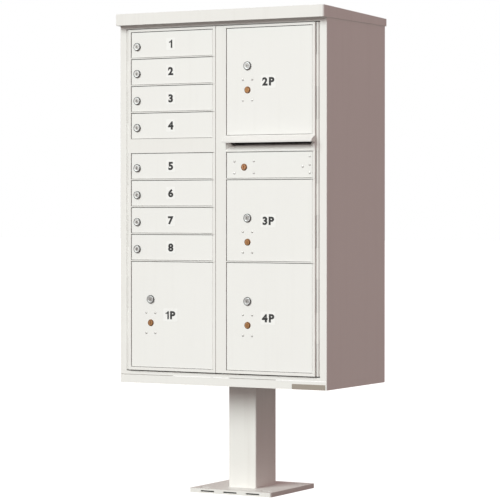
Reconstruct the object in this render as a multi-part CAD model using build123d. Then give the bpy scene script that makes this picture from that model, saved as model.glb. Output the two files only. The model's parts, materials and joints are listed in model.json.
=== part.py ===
from build123d import *
import os

# Cluster mailbox unit on a pedestal: eight tenant compartments, four parcel lockers and a
# collection compartment behind two front-loading master doors.
# Millimetres. X to the right, the doors face -Y, Z up, origin on the ground under the middle of
# the overall outline.

# ------------------------------------------------------------------ cabinet
CABINET_WIDTH = 770.0        # outside of the side panels
CABINET_DEPTH = 418.0        # front flanges to back panel
SHEET = 2.5                  # cabinet sheet thickness
FRONT_BEND = 2.2             # outside bend radius at the front corners
FLANGE_RETURN = 24.0         # how far the front flanges turn back into the cabinet
SHELF_SHEET = 2.0            # shelves and centre partition
SHELF_LIP = 9.0              # turned-down front edge of a shelf
SHELF_FRONT_GAP = 4.0        # between the lock cams and the shelf fronts

# ------------------------------------------------------------------ heights, from the ground up
PEDESTAL_HEIGHT = 358.0      # ground to the lower edge of the cabinet
SKIRT_HEIGHT = 26.8
SKIRT_RETURN = 10.0          # its turned-in lower edge
SKIRT_JOINT = 1.4            # open joint above the skirt
SILL_HEIGHT = 11.3
MASTER_GAP_BOTTOM = 4.0      # open gap under the master doors
BOTTOM_RAIL = 9.8
DOOR_GAP_BOTTOM = 1.2        # small doors to their openings
DOOR_GAP_TOP = 2.0
DOOR_GAP_SIDE = 1.6
LARGE_DOOR_HEIGHT = 345.8    # lockers 1 and 4
DOOR_SPACING = 6.5           # between neighbouring small doors
BOX_PITCH = 88.9             # height of one tenant compartment
SPACER_RAIL = 50.0           # wide rail between the fourth and fifth tenant doors
SLOT_RAIL = 56.1             # between the collection door and locker 2
TOP_RAIL = 8.0
MASTER_GAP_TOP = 3.0
HEADER_HEIGHT = 11.2         # header left showing under the roof
HEADER_RETURN = 12.5         # its turned-in lower edge
FASCIA_HEIGHT = 37.8         # turned-down front edge of the roof
ROOF_FALL = 14.0             # drop of the roof from front to back

# ------------------------------------------------------------------ roof
ROOF_SHEET = 2.0
ROOF_SIDE_CLEARANCE = 0.5
ROOF_OVERHANG_FRONT = 26.7
ROOF_OVERHANG_BACK = 12.0
ROOF_CORNER = 7.0

# ------------------------------------------------------------------ master doors
DOOR_PROUD = 8.6             # door faces stand this far in front of the flanges
FRAME_DEPTH = 17.0
FRAME_SKIN = 2.5             # front skin over the hollow parts of a frame
HINGE_INSET = 32.0           # outside of the cabinet to the master hinge axis
KNUCKLE_RADIUS = 5.5
KNUCKLE_PROUD = 3.0          # front of the hinge barrels in front of the flanges
KNUCKLE_FRAME_GAP = 0.8
KNUCKLE_WEB = 2.5            # half the thickness of the web behind a moving knuckle
KNUCKLE_AXIAL_GAP = 0.4
KNUCKLE_COUNT = 11
MASTER_PIN_RADIUS = 2.5
PIN_CLEARANCE = 0.08         # running fit of every hinge and lock
LEAF_SHEET = 2.0
LEAF_KNUCKLE_GAP = 0.4
LEAF_SETBACK = 1.0           # leaf edge behind the flange face
LEAF_WEB_FRONT = 1.0         # webs of the fixed knuckles, behind the hinge axis
LEAF_WEB_BACK = 5.5
OUTER_STILE = 8.1
LEFT_INNER_EDGE = 27.5       # hinge edge of the left column doors to the middle
RIGHT_INNER_EDGE = 24.9      # free edge of the right column doors to the middle
LEAF_JOINT = 2.2             # open joint between the door hinge strips on a stile
LEAF_JOINT_DEPTH = 2.4
MASTER_SPLIT = -15.4         # centre of the gap between the master doors
MASTER_SPLIT_GAP = 2.0
SPACER_STIFFENER = 8.0       # solid end of the hollow wide rail
ROD_END = 2.0                # small-door rods to the ends of a frame
ROD_SEAT = 4.0               # rod held past the end of an opening

# ------------------------------------------------------------------ small doors
DOOR_RECESS = 2.4            # small door faces behind the frame face
DOOR_SHEET = 2.0
DOOR_LIP = 9.0
DOOR_LIP_SHEET = 1.5
DOOR_EDGE = 0.8              # softened front edges
BARREL_RADIUS = 3.5          # rolled hinge barrel on the right edge
ROD_RADIUS = 1.6
RIVET_HEAD_RADIUS = 3.2
RIVET_HEAD = 1.2
RIVET_DOME = 0.95
RIVET_TAIL = 1.0             # rivets that only pass the door skin
RIVET_RADIUS = 1.6

# ------------------------------------------------------------------ cam locks
LOCK_HEAD_RADIUS = 11.8
LOCK_HEAD = 4.2
LOCK_HEAD_ROUND = 2.6
LOCK_BARREL_RADIUS = 9.2
LOCK_HOLE_GAP = 0.1
LOCK_NUT_RADIUS = 13.0
LOCK_NUT = 3.5
PLUG_RADIUS = 6.0
PLUG_PROUD = 0.5
KEYWAY_WIDTH = 1.7
KEYWAY_HEIGHT = 7.4
KEYWAY_DEPTH = 6.0
CAM_SHEET = 2.0
CAM_WIDTH = 11.0
CAM_FRAME_GAP = 0.7
CAM_SHELL_GAP = 0.2
TENANT_LOCK_INSET = 22.0     # from the free edge of the door
TENANT_LOCK_DROP = 5.8       # below the middle of the door
PARCEL_LOCK_REACH = 235.5    # from the hinge edge of the door
LARGE_LOCK_RISE = 50.0       # above the middle of a large parcel door
SMALL_LOCK_RISE = 8.0        # the same on locker 3
CAM_ENGAGE = 8.0             # reach of a turned cam behind the stile

# ------------------------------------------------------------------ carrier locks
CARRIER_DROP = 77.5          # below the cam lock of the same door
CORE_RADIUS = 9.2
CORE_PROUD = 3.0
CORE_EDGE = 1.6
CORE_DOOR_GAP = 0.4
CORE_STEM_RADIUS = 4.6
CORE_TAB = 2.0
CORE_TAB_GAP = 0.3
CORE_TAB_HALF_WIDTH = 2.3
CORE_TAB_HALF_HEIGHT = 6.4
CORE_KEYWAY_HEIGHT = 10.1
CASE_DEPTH = 10.0
CASE_SIDE_MARGIN = 7.0       # case outside its rivets
PARCEL_RIVET_X = 17.0
PARCEL_RIVET_Z = 33.2
COLLECTION_LOCK_INSET = 64.1
COLLECTION_LOCK_DROP = 6.3
COLLECTION_RIVET_X = 35.7
COLLECTION_RIVET_Z = 19.2
HINGE_RIVET_INSET = 9.5
HINGE_RIVET_PITCH = 26.7
STOP_RIVET_INSET = 35.0
BOLT_SECTION = 12.0
BOLT_SHEET = 3.0
BOLT_CLEARANCE = 0.3
BOLT_INSET = 1.0             # bolt end inside the free edge of the door
BOLT_TAIL = 30.0
GUIDE_WALL = 2.0             # behind the bolt, and between the guide and the core
GUIDE_MARGIN = 4.0           # above and below the bolt

# ------------------------------------------------------------------ outgoing mail slot
HOOD_PROJECTION = 25.0
HOOD_SHEET = 1.8
HOOD_TOP = 52.1              # above the collection door
HOOD_DROP = 15.0             # fall of the hood from the door face to its front lip
HOOD_LIP = 6.5
HOOD_NOSE = 3.0              # depth of the rounded nose above the lip
HOOD_NOSE_RISE = 2.2
HOOD_NOSE_DROP = 1.5
HOOD_NOSE_WALL = 0.4         # extra wall inside the nose
HOOD_LEFT = 4.0              # hood end to the door edge line, left
HOOD_RIGHT = 10.0            # hood end past the door edge line, right
TRIM_SHEET = 1.5
TRIM_BOTTOM = 5.4            # above the collection door
TRIM_HEIGHT = 41.0
TRIM_DEPTH = 14.0
TRIM_RIGHT = 5.0
SLOT_BOTTOM = 20.2           # above the collection door
SLOT_HEIGHT = 17.0
SLOT_END_TOP = 8.0           # slot end inside the trim end at the top of the slot
SLOT_END_BOTTOM = 17.0       # and at the bottom
CHUTE_DEPTH = 42.0
CHUTE_DROP = 26.0
CHUTE_SHEET = 1.5
CHUTE_RISE = 4.0             # chute roof above the slot, and its cheeks below it
CHUTE_BEND = 8.0             # depth of the sloped back corner
CHUTE_BEND_RISE = 3.0
CHUTE_BEND_DROP = 16.0

# ------------------------------------------------------------------ master latch
LATCH_WIDTH = 12.0
LATCH_SHEET = 3.0
LATCH_GAP = 0.3
LATCH_LENGTH = 560.0
LATCH_INSET = 12.4           # from the free edge of the right master door
LATCH_FINGER = 18.3
LATCH_HOOK = 9.0
LATCH_HOOK_SHEET = 4.0
STRIKE_HEIGHT = 13.0
STRIKE_DEPTH = 6.0
STRIKE_CLEARANCE = 4.0
HANDLE_REACH = 34.0
HANDLE_RISE = 20.0
HANDLE_HEIGHT = 14.0
HANDLE_GRIP = 12.0           # turned-in end of the handle
GUIDE_HALF_HEIGHT = 8.0      # the two guides of the latch bar
GUIDE_SHARE = 0.4            # guide heights along the bar, as a share of its length
GUIDE_STRAP = 2.0
HOOK_PARTITION_GAP = 3.0
STRIKE_HOOK_GAP = 2.0

# ------------------------------------------------------------------ pedestal
POST_WIDTH = 103.0
POST_DEPTH = 138.0
POST_WALL = 4.0
POST_CORNER = 4.0
BASE_WIDTH = 305.0
BASE_DEPTH = 305.0
BASE_HEIGHT = 15.0
BASE_SHEET = 4.8
BASE_CORNER = 6.0
BASE_SLOT_LENGTH = 51.0
BASE_SLOT_HEIGHT = 4.6
BASE_SLOT_PITCH = 84.5
BASE_SLOT_CENTRE = 7.0
ANCHOR_SPACING_X = 228.6
ANCHOR_SPACING_Y = 228.6
ANCHOR_SLOT_LENGTH = 38.0
ANCHOR_RADIUS = 7.2
TOP_PLATE_WIDTH = 254.0
TOP_PLATE_DEPTH = 300.0
TOP_PLATE = 6.4
CABINET_BOLT_X = 90.0
CABINET_BOLT_Y = 110.0
BOLT_RADIUS = 6.0
BOLT_HOLE_RADIUS = 6.6
BOLT_HEAD = 7.5
BOLT_HEAD_RADIUS = 10.9
BOLT_END = 3.0               # thread showing past a nut

# ------------------------------------------------------------------ name plate
PLATE_WIDTH = 119.0
PLATE_HEIGHT = 17.2
PLATE_SHEET = 1.4
PLATE_EDGE = 3.2

# ------------------------------------------------------------------ modelling allowances
OVERCUT = 1.0                # cutting shapes run this far past what they cut
OVERLAP = 1.0                # welded parts of one solid run this far into each other
ON_PLANE = 1e-4

# ------------------------------------------------------------------ worked out places
HALF_WIDTH = CABINET_WIDTH / 2
CENTRE_Y = (DOOR_PROUD + HOOD_PROJECTION - ROOF_OVERHANG_BACK) / 2
FLANGE_Y = CENTRE_Y - CABINET_DEPTH / 2
BACK_Y = CENTRE_Y + CABINET_DEPTH / 2
FACE_Y = FLANGE_Y - DOOR_PROUD
FRAME_BACK_Y = FACE_Y + FRAME_DEPTH
CAM_Y = FRAME_BACK_Y + CAM_FRAME_GAP
SHELF_Y = CAM_Y + CAM_SHEET + SHELF_FRONT_GAP

SKIRT_TOP = PEDESTAL_HEIGHT + SKIRT_HEIGHT
SILL_BOTTOM = SKIRT_TOP + SKIRT_JOINT
FLOOR_TOP = SILL_BOTTOM + SILL_HEIGHT
MASTER_BOTTOM = FLOOR_TOP + MASTER_GAP_BOTTOM
DOORS_BOTTOM = MASTER_BOTTOM + BOTTOM_RAIL + DOOR_GAP_BOTTOM
LARGE_TOP = DOORS_BOTTOM + LARGE_DOOR_HEIGHT
LOWER_BOXES = LARGE_TOP + DOOR_SPACING
COLLECTION_BOTTOM = LOWER_BOXES + 3 * BOX_PITCH
COLLECTION_TOP = LOWER_BOXES + 4 * BOX_PITCH - DOOR_SPACING
UPPER_BOXES = COLLECTION_TOP + SPACER_RAIL
DOORS_TOP = UPPER_BOXES + 4 * BOX_PITCH - DOOR_SPACING
MASTER_TOP = DOORS_TOP + DOOR_GAP_TOP + TOP_RAIL
HEADER_BOTTOM = MASTER_TOP + MASTER_GAP_TOP
FASCIA_BOTTOM = HEADER_BOTTOM + HEADER_HEIGHT
ROOF_TOP = FASCIA_BOTTOM + FASCIA_HEIGHT

HINGE_X = HALF_WIDTH - HINGE_INSET
HINGE_Y = FLANGE_Y - KNUCKLE_PROUD + KNUCKLE_RADIUS
FRAME_OUTER = HINGE_X - KNUCKLE_RADIUS - KNUCKLE_FRAME_GAP
LEAF_X = HINGE_X + KNUCKLE_RADIUS + LEAF_KNUCKLE_GAP
FLANGE_INNER = LEAF_X + LEAF_SHEET
DOOR_OUTER = FRAME_OUTER - OUTER_STILE - DOOR_GAP_SIDE
LEFT_DOOR_WIDTH = DOOR_OUTER - LEFT_INNER_EDGE
RIGHT_DOOR_WIDTH = DOOR_OUTER - RIGHT_INNER_EDGE
LEFT_MASTER_INNER = MASTER_SPLIT - MASTER_SPLIT_GAP / 2
RIGHT_MASTER_INNER = MASTER_SPLIT + MASTER_SPLIT_GAP / 2
LEFT_DOOR_X = -DOOR_OUTER            # free edge of the left column doors
RIGHT_DOOR_X = RIGHT_INNER_EDGE      # free edge of the right column doors
DOOR_Y = FACE_Y + DOOR_RECESS
ROD_Y = DOOR_Y + BARREL_RADIUS

ROOF_FRONT_Y = FLANGE_Y - ROOF_OVERHANG_FRONT
ROOF_BACK_Y = BACK_Y + ROOF_OVERHANG_BACK
ROOF_HALF = HALF_WIDTH + ROOF_SIDE_CLEARANCE + ROOF_SHEET


def roof_height(y):
    return ROOF_TOP - ROOF_FALL * (y - ROOF_FRONT_Y) / (ROOF_BACK_Y - ROOF_FRONT_Y)


# ------------------------------------------------------------------ helpers
def block(x0, x1, y0, y1, z0, z1):
    """A box between two corners."""
    centre = Pos((x0 + x1) / 2, (y0 + y1) / 2, (z0 + z1) / 2)
    return centre * Box(x1 - x0, y1 - y0, z1 - z0)


def rod_z(x, y, radius, z0, z1):
    """A round bar standing along Z."""
    return Pos(x, y, (z0 + z1) / 2) * Cylinder(radius, z1 - z0)


def rod_y(x, z, radius, y0, y1):
    """A round bar lying along Y."""
    return Pos(x, (y0 + y1) / 2, z) * Rot(90, 0, 0) * Cylinder(radius, y1 - y0)


def rod_x(y, z, radius, x0, x1):
    """A round bar lying along X."""
    return Pos((x0 + x1) / 2, y, z) * Rot(0, 90, 0) * Cylinder(radius, x1 - x0)


def side_profile(points, x0, x1):
    """A closed outline in the Y-Z plane, extruded from x0 to x1."""
    outline = Plane.YZ.offset(x0) * make_face(Polyline(*points, close=True))
    return extrude(outline, amount=x1 - x0)


def front_edges(shape, y, radius):
    """Round the edges that lie in the plane y."""
    edges = shape.edges().filter_by(lambda e: abs(e.bounding_box().max.Y - y) < ON_PLANE)
    return fillet(edges, radius)


def save(name, *solids):
    """Write one node, as one solid or as a group of separate solids."""
    shape = solids[0] if len(solids) == 1 else Compound(children=list(solids))
    export_step(shape, f"parts/{name}.step")


# ------------------------------------------------------------------ door rows
def tenant_rows():
    """Bottom and top of each tenant door, numbered from the top."""
    starts = [UPPER_BOXES + n * BOX_PITCH for n in (3, 2, 1, 0)]
    starts += [LOWER_BOXES + n * BOX_PITCH for n in (3, 2, 1, 0)]
    return [(z, z + BOX_PITCH - DOOR_SPACING) for z in starts]


PARCEL_DOORS = {
    1: (LEFT_DOOR_X, DOORS_BOTTOM, LARGE_TOP, LARGE_LOCK_RISE),
    2: (RIGHT_DOOR_X, COLLECTION_TOP + SLOT_RAIL, DOORS_TOP, LARGE_LOCK_RISE),
    3: (RIGHT_DOOR_X, LOWER_BOXES, COLLECTION_BOTTOM - DOOR_SPACING, SMALL_LOCK_RISE),
    4: (RIGHT_DOOR_X, DOORS_BOTTOM, LARGE_TOP, LARGE_LOCK_RISE),
}
COLLECTION_DOOR = (RIGHT_DOOR_X, COLLECTION_BOTTOM, COLLECTION_TOP)


def hinge_edge(x):
    """Right edge of the small door whose free edge is at x."""
    return x + (LEFT_DOOR_WIDTH if x < 0 else RIGHT_DOOR_WIDTH)


# ------------------------------------------------------------------ small doors and locks
def door_pan(x, z0, z1):
    """A shallow pan whose right edge is rolled into a hinge barrel."""
    axis_x = hinge_edge(x) - BARREL_RADIUS
    pan = block(x, axis_x, DOOR_Y, DOOR_Y + DOOR_LIP, z0, z1)
    rim = pan.edges().filter_by(lambda e: e.bounding_box().max.Y < DOOR_Y + ON_PLANE)
    rim = rim.filter_by(lambda e: e.bounding_box().min.X < axis_x - ON_PLANE)
    pan = fillet(rim, DOOR_EDGE)
    pan_back = DOOR_Y + DOOR_LIP + OVERCUT
    pan -= block(x + DOOR_LIP_SHEET, axis_x + OVERCUT, DOOR_Y + DOOR_SHEET, pan_back,
                 z0 + DOOR_LIP_SHEET, z1 - DOOR_LIP_SHEET)
    pan -= block(axis_x - BARREL_RADIUS, axis_x + OVERCUT, DOOR_Y + 2 * BARREL_RADIUS, pan_back,
                 z0 - OVERCUT, z1 + OVERCUT)
    pan += rod_z(axis_x, ROD_Y, BARREL_RADIUS, z0, z1)
    return pan - rod_z(axis_x, ROD_Y, ROD_RADIUS + PIN_CLEARANCE, z0 - OVERCUT, z1 + OVERCUT)


def rivet(x, z, depth):
    """A domed rivet through the door skin and what lies behind it."""
    head = rod_y(x, z, RIVET_HEAD_RADIUS, DOOR_Y - RIVET_HEAD, DOOR_Y)
    head = front_edges(head, DOOR_Y - RIVET_HEAD, RIVET_DOME)
    return head + rod_y(x, z, RIVET_RADIUS, DOOR_Y, DOOR_Y + depth)


def rivet_hole(x, z):
    return rod_y(x, z, RIVET_RADIUS, DOOR_Y - OVERCUT, FRAME_BACK_Y)


def lock_shell(x, z):
    """The fixed shell of a cam lock: round head and barrel."""
    head = rod_y(x, z, LOCK_HEAD_RADIUS, DOOR_Y - LOCK_HEAD, DOOR_Y)
    head = front_edges(head, DOOR_Y - LOCK_HEAD, LOCK_HEAD_ROUND)
    shell = head + rod_y(x, z, LOCK_BARREL_RADIUS, DOOR_Y, CAM_Y - CAM_SHELL_GAP)
    bore = rod_y(x, z, PLUG_RADIUS + PIN_CLEARANCE, DOOR_Y - LOCK_HEAD - OVERCUT, CAM_Y)
    return shell - bore


def lock_nut(x, z):
    """The nut that clamps a cam lock from behind."""
    y = DOOR_Y + DOOR_SHEET
    profile = Plane.XZ.offset(-y) * Pos(x, z) * RegularPolygon(LOCK_NUT_RADIUS, 6)
    nut = extrude(profile, amount=-LOCK_NUT)
    return nut - rod_y(x, z, LOCK_BARREL_RADIUS, y - OVERCUT, y + LOCK_NUT + OVERCUT)


def lock_plug(x, z, reach):
    """The turning plug with its keyway and its cam, which hangs down when unlocked."""
    front = DOOR_Y - LOCK_HEAD - PLUG_PROUD
    plug = rod_y(x, z, PLUG_RADIUS, front, CAM_Y + CAM_SHEET)
    plug -= block(x - KEYWAY_WIDTH / 2, x + KEYWAY_WIDTH / 2, front - OVERCUT,
                  front + KEYWAY_DEPTH, z - KEYWAY_HEIGHT / 2, z + KEYWAY_HEIGHT / 2)
    half = CAM_WIDTH / 2
    cam = block(x - half, x + half, CAM_Y, CAM_Y + CAM_SHEET, z - reach + half, z)
    cam += rod_y(x, z - reach + half, half, CAM_Y, CAM_Y + CAM_SHEET)
    return plug + cam


def cam_reach(inset):
    """Cam length that reaches behind the stile at the free edge."""
    return inset + DOOR_GAP_SIDE + CAM_ENGAGE


CASE_BACK_Y = DOOR_Y + DOOR_SHEET + CASE_DEPTH
TAB_Y = CASE_BACK_Y + CORE_TAB_GAP


def carrier_case(x, z, half_x, half_z):
    """The riveted case behind a carrier lock, holed for its core and rivets."""
    case = block(x - half_x - CASE_SIDE_MARGIN, x + half_x + CASE_SIDE_MARGIN,
                 DOOR_Y + DOOR_SHEET, CASE_BACK_Y,
                 z - half_z - CASE_SIDE_MARGIN, z + half_z + CASE_SIDE_MARGIN)
    case -= rod_y(x, z, CORE_RADIUS + PIN_CLEARANCE, DOOR_Y, CASE_BACK_Y + OVERCUT)
    for side in (-1, 1):
        for end in (-1, 1):
            case -= rivet_hole(x + side * half_x, z + end * half_z)
    return case


def carrier_core(x, z):
    """The turning core of a carrier lock, with a keyway and a tab at the back."""
    front = DOOR_Y - CORE_PROUD
    core = rod_y(x, z, CORE_RADIUS, front, CASE_BACK_Y)
    rim = core.edges().filter_by(lambda e: e.bounding_box().max.Y < front + ON_PLANE)
    core = chamfer(rim, CORE_EDGE)
    core += rod_y(x, z, CORE_STEM_RADIUS, CASE_BACK_Y, TAB_Y)
    core += block(x - CORE_TAB_HALF_WIDTH, x + CORE_TAB_HALF_WIDTH, TAB_Y, TAB_Y + CORE_TAB,
                  z - CORE_TAB_HALF_HEIGHT, z + CORE_TAB_HALF_HEIGHT)
    return core - block(x - KEYWAY_WIDTH / 2, x + KEYWAY_WIDTH / 2, front - OVERCUT,
                        front + KEYWAY_DEPTH, z - CORE_KEYWAY_HEIGHT / 2,
                        z + CORE_KEYWAY_HEIGHT / 2)


def through_door(x, z, radius):
    return rod_y(x, z, radius, DOOR_Y - OVERCUT, DOOR_Y + DOOR_LIP)


def make_tenant_doors():
    x = LEFT_DOOR_X
    lock_x = x + TENANT_LOCK_INSET
    for number, (z0, z1) in enumerate(tenant_rows(), start=1):
        lock_z = (z0 + z1) / 2 - TENANT_LOCK_DROP
        pan = door_pan(x, z0, z1)
        pan -= through_door(lock_x, lock_z, LOCK_BARREL_RADIUS + LOCK_HOLE_GAP)
        save(f"tenant_door_{number}", pan, lock_shell(lock_x, lock_z), lock_nut(lock_x, lock_z))
        reach = cam_reach(TENANT_LOCK_INSET)
        save(f"tenant_lock_plug_{number}", lock_plug(lock_x, lock_z, reach))


def make_parcel_doors():
    for number, (x, z0, z1, rise) in PARCEL_DOORS.items():
        lock_x = hinge_edge(x) - PARCEL_LOCK_REACH
        lock_z = (z0 + z1) / 2 + rise
        core_z = lock_z - CARRIER_DROP
        pan = door_pan(x, z0, z1)
        pan -= through_door(lock_x, lock_z, LOCK_BARREL_RADIUS + LOCK_HOLE_GAP)
        pan -= through_door(lock_x, core_z, CORE_RADIUS + CORE_DOOR_GAP)
        rivets = []
        for side in (-1, 1):
            for end in (-1, 1):
                rivet_x = lock_x + side * PARCEL_RIVET_X
                rivet_z = core_z + end * PARCEL_RIVET_Z
                pan -= rivet_hole(rivet_x, rivet_z)
                rivets.append(rivet(rivet_x, rivet_z, DOOR_SHEET + CASE_DEPTH))
        save(f"parcel_door_{number}", pan, *rivets)
        save(f"parcel_lock_case_{number}", lock_shell(lock_x, lock_z), lock_nut(lock_x, lock_z),
             carrier_case(lock_x, core_z, PARCEL_RIVET_X, PARCEL_RIVET_Z))
        reach = cam_reach(lock_x - x)
        save(f"parcel_lock_plug_{number}", lock_plug(lock_x, lock_z, reach))
        save(f"carrier_lock_core_{number}", carrier_core(lock_x, core_z))


def make_collection_door():
    x, z0, z1 = COLLECTION_DOOR
    core_x = x + COLLECTION_LOCK_INSET
    core_z = (z0 + z1) / 2 - COLLECTION_LOCK_DROP
    case_rivets = [(core_x + side * COLLECTION_RIVET_X, core_z + end * COLLECTION_RIVET_Z)
                   for side in (-1, 1) for end in (-1, 1)]
    hinge_x = hinge_edge(x) - HINGE_RIVET_INSET
    middle = (z0 + z1) / 2
    edge_rivets = [(hinge_x, middle + n * HINGE_RIVET_PITCH) for n in (-1, 0, 1)]
    edge_rivets.append((hinge_edge(x) - STOP_RIVET_INSET, core_z))
    pan = door_pan(x, z0, z1)
    pan -= through_door(core_x, core_z, CORE_RADIUS + CORE_DOOR_GAP)
    for rivet_x, rivet_z in case_rivets + edge_rivets:
        pan -= rivet_hole(rivet_x, rivet_z)
    rivets = [rivet(rx, rz, DOOR_SHEET + CASE_DEPTH) for rx, rz in case_rivets]
    rivets += [rivet(rx, rz, DOOR_SHEET + RIVET_TAIL) for rx, rz in edge_rivets]
    save("collection_door", pan, *rivets)

    bolt_y = CAM_Y
    guide_x = core_x - COLLECTION_RIVET_X + RIVET_RADIUS
    guide_end = core_x - CORE_RADIUS - GUIDE_WALL
    half = BOLT_SECTION / 2
    case = carrier_case(core_x, core_z, COLLECTION_RIVET_X, COLLECTION_RIVET_Z)
    case += block(guide_x, guide_end, CASE_BACK_Y, bolt_y + BOLT_SHEET + GUIDE_WALL,
                  core_z - half - GUIDE_MARGIN, core_z + half + GUIDE_MARGIN)
    case -= block(guide_x - OVERCUT, guide_end + OVERCUT, bolt_y - BOLT_CLEARANCE,
                  bolt_y + BOLT_SHEET + BOLT_CLEARANCE,
                  core_z - half - BOLT_CLEARANCE, core_z + half + BOLT_CLEARANCE)
    save("collection_lock_case", case)
    save("collection_lock_core", carrier_core(core_x, core_z))
    bolt = block(x + BOLT_INSET, core_x + BOLT_TAIL, bolt_y, bolt_y + BOLT_SHEET,
                 core_z - half, core_z + half)
    save("collection_lock_bolt", bolt)
    return core_z


# ------------------------------------------------------------------ master doors
def opening_cut(x, z0, z1):
    """The through opening for one small door."""
    return block(x - DOOR_GAP_SIDE, hinge_edge(x) + DOOR_GAP_SIDE, FACE_Y - OVERCUT,
                 FRAME_BACK_Y + OVERCUT, z0 - DOOR_GAP_BOTTOM, z1 + DOOR_GAP_TOP)


def leaf_joints(x, stile_end, heights):
    """Shallow joints across a stile, where the hinge strip of one door ends and the next begins."""
    cuts = []
    for z in heights:
        cuts.append(block(hinge_edge(x) + DOOR_GAP_SIDE - OVERCUT, stile_end + OVERCUT,
                          FACE_Y - OVERCUT, FACE_Y + LEAF_JOINT_DEPTH, z - LEAF_JOINT, z))
    return cuts


def hollow(x0, x1, z0, z1):
    """A pocket in the back of a wide part of a frame."""
    return block(x0 + FRAME_SKIN, x1 - FRAME_SKIN, FACE_Y + FRAME_SKIN,
                 FRAME_BACK_Y + OVERCUT, z0 + FRAME_SKIN, z1 - FRAME_SKIN)


def knuckle_spans():
    """Heights of the hinge knuckles; even ones stay with the cabinet."""
    start = MASTER_BOTTOM
    pitch = (MASTER_TOP - MASTER_BOTTOM) / KNUCKLE_COUNT
    gap = KNUCKLE_AXIAL_GAP / 2
    return [(start + n * pitch + gap, start + (n + 1) * pitch - gap) for n in range(KNUCKLE_COUNT)]


def frame_knuckles(side):
    """Knuckles on the outer edge of a master frame, with the webs that carry them."""
    parts = []
    axis = side * HINGE_X
    edges = sorted((side * (FRAME_OUTER - OVERLAP), side * (HINGE_X - KNUCKLE_RADIUS / 2)))
    for z0, z1 in knuckle_spans()[1::2]:
        knuckle = rod_z(axis, HINGE_Y, KNUCKLE_RADIUS, z0, z1)
        knuckle += block(edges[0], edges[1], HINGE_Y - KNUCKLE_WEB, HINGE_Y + KNUCKLE_WEB, z0, z1)
        knuckle -= rod_z(axis, HINGE_Y, MASTER_PIN_RADIUS + PIN_CLEARANCE,
                         z0 - OVERCUT, z1 + OVERCUT)
        parts.append(knuckle)
    return parts


def make_left_master():
    outer = -FRAME_OUTER
    frame = block(outer, LEFT_MASTER_INNER, FACE_Y, FRAME_BACK_Y, MASTER_BOTTOM, MASTER_TOP)
    rows = tenant_rows()
    for z0, z1 in rows:
        frame -= opening_cut(LEFT_DOOR_X, z0, z1)
    frame -= opening_cut(*PARCEL_DOORS[1][:3])
    frame -= hollow(LEFT_DOOR_X - DOOR_GAP_SIDE,
                    hinge_edge(LEFT_DOOR_X) + DOOR_GAP_SIDE - SPACER_STIFFENER,
                    rows[4][1] + DOOR_GAP_TOP, rows[3][0] - DOOR_GAP_BOTTOM)
    for joint in leaf_joints(LEFT_DOOR_X, LEFT_MASTER_INNER, [z1 + DOOR_GAP_TOP for z0, z1 in rows[1:]]
                             + [LARGE_TOP + DOOR_GAP_TOP]):
        frame -= joint
    rod_axis = hinge_edge(LEFT_DOOR_X) - BARREL_RADIUS
    rod_ends = (MASTER_BOTTOM + ROD_END, MASTER_TOP - ROD_END)
    frame -= rod_z(rod_axis, ROD_Y, ROD_RADIUS, *rod_ends)
    for knuckle in frame_knuckles(-1):
        frame += knuckle
    save("left_master_frame", frame)
    save("left_door_hinge_rod", rod_z(rod_axis, ROD_Y, ROD_RADIUS, *rod_ends))


TRIM_X0 = RIGHT_DOOR_X - HOOD_LEFT
TRIM_X1 = hinge_edge(RIGHT_DOOR_X) + TRIM_RIGHT
TRIM_Z0 = COLLECTION_TOP + TRIM_BOTTOM
TRIM_Z1 = TRIM_Z0 + TRIM_HEIGHT
SLOT_Z0 = COLLECTION_TOP + SLOT_BOTTOM
SLOT_Z1 = SLOT_Z0 + SLOT_HEIGHT


def funnel(grow, y0, y1):
    """The dished space in front of the mail slot, grown outwards by a wall."""
    front = Polyline((TRIM_X0 - grow, TRIM_Z0 - grow), (TRIM_X1 + grow, TRIM_Z0 - grow),
                     (TRIM_X1 + grow, TRIM_Z1 + grow), (TRIM_X0 - grow, TRIM_Z1 + grow), close=True)
    back = Polyline((TRIM_X0 + SLOT_END_BOTTOM - grow, SLOT_Z0 - grow),
                    (TRIM_X1 - SLOT_END_BOTTOM + grow, SLOT_Z0 - grow),
                    (TRIM_X1 - SLOT_END_TOP + grow, SLOT_Z1 + grow),
                    (TRIM_X0 + SLOT_END_TOP - grow, SLOT_Z1 + grow), close=True)
    faces = [Plane.XZ.offset(-y0) * make_face(front), Plane.XZ.offset(-y1) * make_face(back)]
    return loft(faces)


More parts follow.
